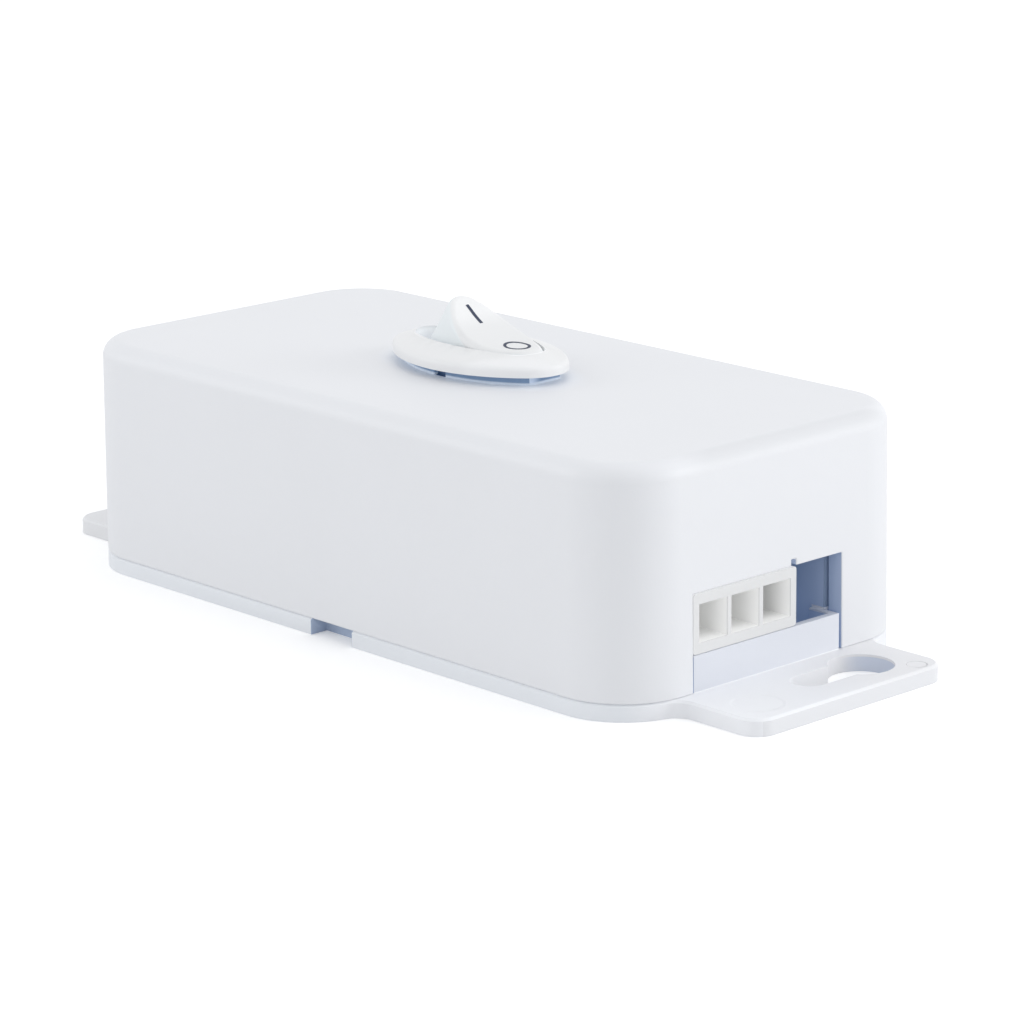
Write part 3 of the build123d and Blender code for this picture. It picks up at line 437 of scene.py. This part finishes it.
cover_plastic, place, cover_tone, cover_rise = moulded_plastic(
    "cover_plastic", cover_white, spark_depth
)
x, y, z = cover_plastic.along(place)
# Painted shade on the rounded top edge at the socket end, painted dusky blue shade inside, and a
# painted glow on the jambs and round the switch's neck.
past_end_edge = (x - end_edge_x).at_least(0) * (z - end_edge_z).at_least(0)
end_edge = past_end_edge.fade(*end_edge_fade) * y.fade(*end_corner_fade)
inside = inside_casing(cover_plastic, place, cover_inside_top)
inside = inside * (x > knockout_depth - casing_half_length)
jamb = (x > jamb_x) * (y < jamb_y)
round_neck = (x * x * neck_length**-2 + y * y * neck_width**-2).fade(*neck_fade)
round_neck = round_neck * (z > neck_bottom)
cover_tone, cover_painted_glow = dusky(
    cover_plastic,
    inside * (1 - jamb),
    cover_plastic.blend(end_edge, cover_tone, end_edge_painted_shade),
    cover_plastic.blend(inside * jamb, no_glow, jamb_painted_glow),
)
cover_plastic.feed("Base Color", cover_tone)
cover_plastic.glow(cover_plastic.blend(round_neck, cover_painted_glow, neck_painted_bounce))
cover_plastic.relief(cover_rise)
softened("cover", "housing", cover_edge, cover_plastic)


# Receptacle housing: an off-white block with three square sockets, moulded in nylon and held by
# its lugs between two cheeks of the base. The walls of the sockets carry a painted glow near the
# mouth, weaker beside the port, and painted shade that darkens them towards the back.
nylon_white = (0.735, 0.736, 0.735, 1)
nylon_socket_shade = (0.58, 0.585, 0.575, 1)
nylon_painted_glow = (0.235, 0.235, 0.23, 1)
fine_depth = 0.000003
mouth_x = 0.0499
socket_fade = (mouth_x - 0.0002, 0.0404)
socket_mouth = mouth_x - 0.0001
sockets_side = 0.0030
mouth_fade = (mouth_x - 0.0035, mouth_x)
port_side_fade = (-0.0026, -0.0010)
port_depth_fade = (mouth_x - 0.0005, mouth_x - 0.0050)
least_glow = 0.5
port_loss = 0.3
nylon_edge = 0.00007
nylon, place, nylon_tone, nylon_rise = moulded_plastic("nylon", nylon_white, fine_depth)
x, y, z = nylon.along(place)
# Painted shade darkens the sockets towards the back, and a painted glow lights their walls near
# the mouth, less beside the port.
nylon.feed("Base Color", nylon.blend(x.fade(*socket_fade), nylon_tone, nylon_socket_shade))
in_socket = (x < socket_mouth) * (y < sockets_side)
near_port = y.fade(*port_side_fade) * x.fade(*port_depth_fade)
socket_glow_share = least_glow + x.fade(*mouth_fade) * (1 - least_glow) - near_port * port_loss
nylon.glow(nylon.blend(in_socket * socket_glow_share, no_glow, nylon_painted_glow))
nylon.relief(nylon_rise)
softened("receptacle_housing", "housing", nylon_edge, nylon)


# Switch frame: the oval bezel and the deep body below it, held in the cover's top by two snap
# fingers and moulded in the same white plastic, in a slightly lighter tone. The neck under the
# bezel lies in its shadow, which is painted on it, with a painted lighter end and foot and a
# weak painted glow. The bezel's front is painted lighter and its end darker, as painted light
# and shade, and the walls of the rocker's well carry a painted glow.
switch_white = (0.810, 0.812, 0.815, 1)
bezel_front_painted_light = (0.853, 0.855, 0.861, 1)
bezel_end_painted_shade = (0.775, 0.777, 0.779, 1)
neck_shadow = (0.18, 0.26, 0.39, 1)
neck_end_painted_light = (0.62, 0.70, 0.82, 1)
neck_foot_painted_light = (0.68, 0.73, 0.81, 1)
notch_shadow = (0.055, 0.125, 0.27, 1)
neck_painted_glow = (0.02, 0.040, 0.075, 1)
neck_foot_painted_glow = (0.05, 0.07, 0.09, 1)
well_painted_glow = (0.17, 0.178, 0.186, 1)
well_end_painted_glow = (0.42, 0.425, 0.43, 1)
bezel_front_x = 0.73
bezel_front_y = -0.68
bezel_front_fade = (0.0080, 0.0095)
bezel_front_x_fade = (0.0020, 0.0060)
bezel_front_y_fade = (0.0005, -0.0030)
bezel_end_x_fade = (0.0050, 0.0080)
bezel_end_y_fade = (0.0000, 0.0030)
bezel_underside = 0.03084
bezel_crest = 0.03335
neck_foot_fade = (0.03008, 0.02984)
lit_end_x = 0.0115
lit_end_y_fade = (-0.0005, -0.0022)
notch_half_width = 0.0010
well_length = 0.0106
well_width = 0.0050
crest_fade = (bezel_crest, bezel_crest - 0.0008)
well_depth_fade = (bezel_crest - 0.0045, bezel_crest - 0.0012)
well_side_fade = (0.0020, -0.0020)
well_end_fade = (0.0080, 0.0095)
switch_edge = 0.0001
switch_plastic, place, switch_tone, switch_rise = moulded_plastic(
    "switch_plastic", switch_white, fine_depth
)
x, y, z = switch_plastic.along(place)
# Painted light and shade: the bezel's front is painted lighter and its end darker; the neck below
# the bezel is painted as shadow, with a painted lighter end and foot and a darker notch.
bezel_front = (x * bezel_front_x + y * bezel_front_y).fade(*bezel_front_fade)
bezel_front = bezel_front * x.fade(*bezel_front_x_fade) * y.fade(*bezel_front_y_fade)
bezel_end = x.fade(*bezel_end_x_fade) * y.fade(*bezel_end_y_fade)
below_bezel = z < bezel_underside
neck_foot = z.fade(*neck_foot_fade)
notch = abs(x) < notch_half_width
neck_tone = switch_plastic.layered(
    neck_shadow,
    ((x > lit_end_x) * y.fade(*lit_end_y_fade), neck_end_painted_light),
    (neck_foot, neck_foot_painted_light),
    (notch, notch_shadow),
)
switch_tone = switch_plastic.layered(
    switch_tone,
    (bezel_front, bezel_front_painted_light),
    (bezel_end, bezel_end_painted_shade),
    (below_bezel, neck_tone),
)
switch_plastic.feed("Base Color", switch_tone)
# Painted glow: on the walls of the rocker's well, most at its off end, and weakly on the neck
# outside the notch.
from_middle = x * x * well_length**-2 + y * y * well_width**-2
below_crest = (from_middle < 1) * z.fade(*crest_fade)
in_well = below_crest * z.fade(*well_depth_fade) * x.fade(*well_side_fade)
switch_painted_glow = switch_plastic.layered(
    no_glow,
    (in_well, well_painted_glow),
    (below_crest * x.fade(*well_end_fade), well_end_painted_glow),
    (below_bezel * (1 - notch), switch_plastic.blend(neck_foot, neck_painted_glow, neck_foot_painted_glow)),
)
switch_plastic.glow(switch_painted_glow)
switch_plastic.relief(switch_rise)
softened("switch_frame", "housing", switch_edge, switch_plastic)


# Rocker: the dished oval cap, moulded in one with its hollow leg and the stub axles on which it
# tips, below the cover's top. A bar for on and a ring for off are printed on its face in dark
# slate ink. Its face is painted darker towards its low end and its skirt darker and bluer, as
# painted shade.
rocker_white = (0.850, 0.852, 0.852, 1)
rocker_low_painted_shade = (0.790, 0.793, 0.795, 1)
rocker_flank_painted_shade = (0.795, 0.832, 0.846, 1)
axle_height = 0.0270
rest_tilt = radians(20.0)
face_valley = 0.00695
face_slope = radians(18.2)
low_end_fade = (-0.0045, -0.0015)
flank_fade = (0.00015, 0.00050)
rocker_plastic, place, rocker_tone, rocker_rise = moulded_plastic(
    "rocker_plastic", rocker_white, fine_depth
)
x, y, z = rocker_plastic.along(place)
above_axle = z - axle_height
along_face = x * cos(rest_tilt) - above_axle * sin(rest_tilt)
up_leg = x * sin(rest_tilt) + above_axle * cos(rest_tilt)
below_face = abs(along_face) * tan(face_slope) + face_valley - up_leg
# Painted shade: the face darker towards its low end and the skirt below it darker and bluer.
rocker_tone = rocker_plastic.layered(
    rocker_tone,
    (along_face.fade(*low_end_fade), rocker_low_painted_shade),
    (below_face.fade(*flank_fade), rocker_flank_painted_shade),
)
rocker_plastic.feed("Base Color", rocker_tone)
rocker_plastic.relief(rocker_rise)


def dress(node, finish):
    """Gives a CAD piece its finish."""
    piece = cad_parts[node]
    piece.data.materials.clear()
    piece.data.materials.append(finish.material)


dress("rocker", rocker_plastic)

valley_radius = 0.0140
ink_thickness = 0.00003
ink_root = 0.00006
ink_dark = (0.032, 0.043, 0.076, 1)
ink_light = (0.050, 0.064, 0.108, 1)
ink_roughness = 0.45
blot_roughness = 0.2
blot_size = 0.0006
blot_depth = 0.000004


def on_face(s, y, lift):
    """The point at s along the face and y across it, lifted off the face."""
    arc_end = valley_radius * sin(face_slope)
    if abs(s) < arc_end:
        height = face_valley + valley_radius / cos(face_slope) - sqrt(valley_radius**2 - s**2)
    else:
        height = face_valley + abs(s) * tan(face_slope)
    height += lift
    return Vector((
        s * cos(rest_tilt) + height * sin(rest_tilt),
        y,
        axle_height - s * sin(rest_tilt) + height * cos(rest_tilt),
    ))


def printed_mark(name, inner, outer, closed, ink):
    """A thin slab of ink between two lines of points on the rocker's face."""
    form = bmesh.new()
    rows = [
        [form.verts.new(on_face(s, y, lift)) for s, y in line]
        for line, lift in (
            (inner, ink_thickness), (outer, ink_thickness),
            (outer, -ink_root), (inner, -ink_root),
        )
    ]
    steps = len(inner) if closed else len(inner) - 1
    for i in range(steps):
        j = (i + 1) % len(inner)
        for row, after in zip(rows, rows[1:] + rows[:1]):
            form.faces.new((row[i], row[j], after[j], after[i]))
    if not closed:
        form.faces.new([row[0] for row in rows])
        form.faces.new([row[-1] for row in reversed(rows)])
    bmesh.ops.recalc_face_normals(form, faces=form.faces)
    mesh = bpy.data.meshes.new(name)
    form.to_mesh(mesh)
    form.free()
    mark = bpy.data.objects.new(name, mesh)
    bpy.context.scene.collection.objects.link(mark)
    mark.data.materials.append(ink.material)
    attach(mark, "rocker")


slate_ink = Finish("slate_ink", {"Specular IOR Level": 0.3})
blot = slate_ink.noise(slate_ink.place(), blot_size, detail=3.0)
slate_ink.feed("Base Color", slate_ink.blend(blot, ink_dark, ink_light))
slate_ink.feed("Roughness", ink_roughness + blot * blot_roughness)
slate_ink.relief(blot * blot_depth)

bar_start = -0.00555
bar_end = -0.00245
bar_half_width = 0.00024
bar_steps = 12
bar_line = [bar_start + (bar_end - bar_start) * step / bar_steps for step in range(bar_steps + 1)]
printed_mark(
    "on_bar",
    [(s, -bar_half_width) for s in bar_line],
    [(s, bar_half_width) for s in bar_line],
    False,
    slate_ink,
)
ring_centre = 0.0041
ring_radius = 0.00166
ring_bore = 0.00129
ring_steps = 48
turns = [2 * pi * step / ring_steps for step in range(ring_steps)]
printed_mark(
    "off_ring",
    [(ring_centre + ring_bore * cos(turn), ring_bore * sin(turn)) for turn in turns],
    [(ring_centre + ring_radius * cos(turn), ring_radius * sin(turn)) for turn in turns],
    True,
    slate_ink,
)


# Metal parts of the switch and the receptacle: brass terminals and wire cages, tinned contacts
# and connectors, a copper see-saw blade with silver rivets, and zinc-plated screws. They are
# stamped, turned or drawn, with fine lines along the way they were worked.
work_line_size = 0.0004
work_line_depth = 0.000004
work_line_roughness = 0.12
tarnish_size = 0.004
tarnish_roughness = 0.1


def worked_metal(name, bright, dull, roughness, line_scale):
    """Metal with tarnish and fine lines, drawn out where their scale is small."""
    finish = Finish(name, {"Metallic": 1.0})
    place = finish.place()
    stretched = finish.node("ShaderNodeMapping", {}, {"Vector": place, "Scale": line_scale})
    lines = finish.noise(stretched, work_line_size, detail=3.0)
    tarnish = finish.noise(place, tarnish_size, detail=3.0)
    finish.feed("Base Color", finish.blend(tarnish, bright, dull))
    finish.feed("Roughness", roughness + lines * work_line_roughness + tarnish * tarnish_roughness)
    finish.relief(lines * work_line_depth)
    return finish


brass = worked_metal("brass", (0.78, 0.58, 0.27, 1), (0.60, 0.43, 0.19, 1), 0.22, (1, 1, 0.1))
tinned = worked_metal("tinned", (0.70, 0.68, 0.62, 1), (0.56, 0.55, 0.51, 1), 0.28, (0.1, 1, 1))
copper = worked_metal("copper", (0.75, 0.42, 0.26, 1), (0.55, 0.30, 0.19, 1), 0.25, (0.1, 1, 1))
silver = worked_metal("silver", (0.83, 0.82, 0.79, 1), (0.66, 0.65, 0.62, 1), 0.2, (1, 1, 1))
zinc = worked_metal("zinc", (0.66, 0.67, 0.66, 1), (0.52, 0.54, 0.56, 1), 0.3, (1, 1, 0.2))
for node, metal in (
    ("earth_contact", tinned), ("neutral_contact", tinned), ("line_contact", tinned),
    ("feed_connector", tinned), ("load_connector", tinned),
    ("plunger", brass), ("feed_terminal", brass), ("load_terminal", brass), ("wire_cages", brass),
    ("contact_blade", copper), ("moving_contact", silver), ("fixed_contact", silver),
    ("clamp_screws", zinc), ("block_screws", zinc),
):
    dress(node, metal)


# Plunger spring: round steel wire wound into a coil between the plunger's shoulder and the end
# of its bore. It leans with the rocker, whose leg it sits in.
spring_turns = 5.0
spring_radius = 0.00105
spring_wire = 0.000175
spring_low = -0.000775
spring_high = 0.004375
turn_steps = 32
wire_sides = 12
spring_steel = worked_metal(
    "spring_steel", (0.60, 0.60, 0.60, 1), (0.46, 0.46, 0.47, 1), 0.25, (1, 1, 1)
)


def wound_spring(material):
    """A tree that sweeps a round wire along a helix."""
    tree = bpy.data.node_groups.new("wound_spring", "GeometryNodeTree")
    tree.is_modifier = True
    tree.interface.new_socket("Geometry", in_out="OUTPUT", socket_type="NodeSocketGeometry")
    sizes = {}
    for name in ("Turns", "Coil radius", "Height", "Wire radius"):
        sizes[name] = tree.interface.new_socket(
            name, in_out="INPUT", socket_type="NodeSocketFloat"
        )
    given = tree.nodes.new("NodeGroupInput")
    helix = tree.nodes.new("GeometryNodeCurveSpiral")
    helix.inputs["Resolution"].default_value = turn_steps
    tree.links.new(given.outputs["Turns"], helix.inputs["Rotations"])
    tree.links.new(given.outputs["Coil radius"], helix.inputs["Start Radius"])
    tree.links.new(given.outputs["Coil radius"], helix.inputs["End Radius"])
    tree.links.new(given.outputs["Height"], helix.inputs["Height"])
    ring = tree.nodes.new("GeometryNodeCurvePrimitiveCircle")
    ring.inputs["Resolution"].default_value = wire_sides
    tree.links.new(given.outputs["Wire radius"], ring.inputs["Radius"])
    wire = tree.nodes.new("GeometryNodeCurveToMesh")
    wire.inputs["Fill Caps"].default_value = True
    tree.links.new(helix.outputs["Curve"], wire.inputs["Curve"])
    tree.links.new(ring.outputs["Curve"], wire.inputs["Profile Curve"])
    realized = tree.nodes.new("GeometryNodeRealizeInstances")
    tree.links.new(wire.outputs["Mesh"], realized.inputs["Geometry"])
    coated = tree.nodes.new("GeometryNodeSetMaterial")
    coated.inputs["Material"].default_value = material
    tree.links.new(realized.outputs["Geometry"], coated.inputs["Geometry"])
    result = tree.nodes.new("NodeGroupOutput")
    tree.links.new(coated.outputs["Geometry"], result.inputs["Geometry"])
    return tree, sizes


tree, sizes = wound_spring(spring_steel.material)
winding = bpy.data.objects.new("winding", bpy.data.meshes.new("winding"))
bpy.context.scene.collection.objects.link(winding)
wound = winding.modifiers.new("wound_spring", "NODES")
wound.node_group = tree
wound[sizes["Turns"].identifier] = spring_turns
wound[sizes["Coil radius"].identifier] = spring_radius
wound[sizes["Height"].identifier] = spring_high - spring_low
wound[sizes["Wire radius"].identifier] = spring_wire
coil = bpy.data.meshes.new_from_object(
    winding.evaluated_get(bpy.context.evaluated_depsgraph_get())
)
bpy.data.objects.remove(winding)
lean = Matrix.Translation((0, 0, axle_height)) @ Matrix.Rotation(rest_tilt, 4, "Y")
coil.transform(lean @ Matrix.Translation((0, 0, spring_low)))
coil.name = "spring_coil"
spring = bpy.data.objects.new("spring_coil", coil)
bpy.context.scene.collection.objects.link(spring)
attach(spring, "rocker")
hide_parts("plunger_spring")


# Insulating parts: milky sleeves of soft vinyl with a low sheen, pushed over the connectors, and
# the pale moulded terminal block, which two screws fix to the base.
sleeve_white = (0.72, 0.73, 0.71, 1)
sleeve_depth = 0.000002
block_white = (0.78, 0.78, 0.74, 1)
for name, colour, grain_depth, nodes in (
    ("sleeve_vinyl", sleeve_white, sleeve_depth, ("feed_sleeve", "load_sleeve")),
    ("block_plastic", block_white, spark_depth, ("terminal_block",)),
):
    insulation, place, tone, rise = moulded_plastic(name, colour, grain_depth)
    insulation.feed("Base Color", tone)
    insulation.relief(rise)
    for node in nodes:
        dress(node, insulation)


# Leads: stranded wires in extruded PVC, black for line, white for neutral and green for earth,
# clamped in the block and run to the switch and the receptacle.
drawn_line_size = 0.0009
drawn_line_depth = 0.00001
drawn_line_roughness = 0.12
jacket_roughness = 0.42
scuff_size = 0.006
scuff_gain = 1.15
scuff_lift = 0.01


def lead_jacket(name, colour):
    """Smooth PVC with scuffs a shade lighter than its own colour."""
    finish = Finish(name, {"Specular IOR Level": 0.45})
    place = finish.place()
    drawn = finish.noise(place, drawn_line_size, detail=2.0)
    scuff = finish.noise(place, scuff_size, detail=4.0)
    worn = tuple(min(1.0, part * scuff_gain + scuff_lift) for part in colour[:3]) + (1,)
    finish.feed("Base Color", finish.blend(scuff, colour, worn))
    finish.feed("Roughness", jacket_roughness + drawn * drawn_line_roughness)
    finish.relief(drawn * drawn_line_depth)
    return finish


black_jacket = lead_jacket("black_jacket", (0.018, 0.018, 0.020, 1))
white_jacket = lead_jacket("white_jacket", (0.78, 0.78, 0.76, 1))
green_jacket = lead_jacket("green_jacket", (0.02, 0.20, 0.06, 1))
for node, jacket in (
    ("line_lead", black_jacket), ("switched_lead", black_jacket),
    ("neutral_lead", white_jacket), ("earth_lead", green_jacket),
):
    dress(node, jacket)
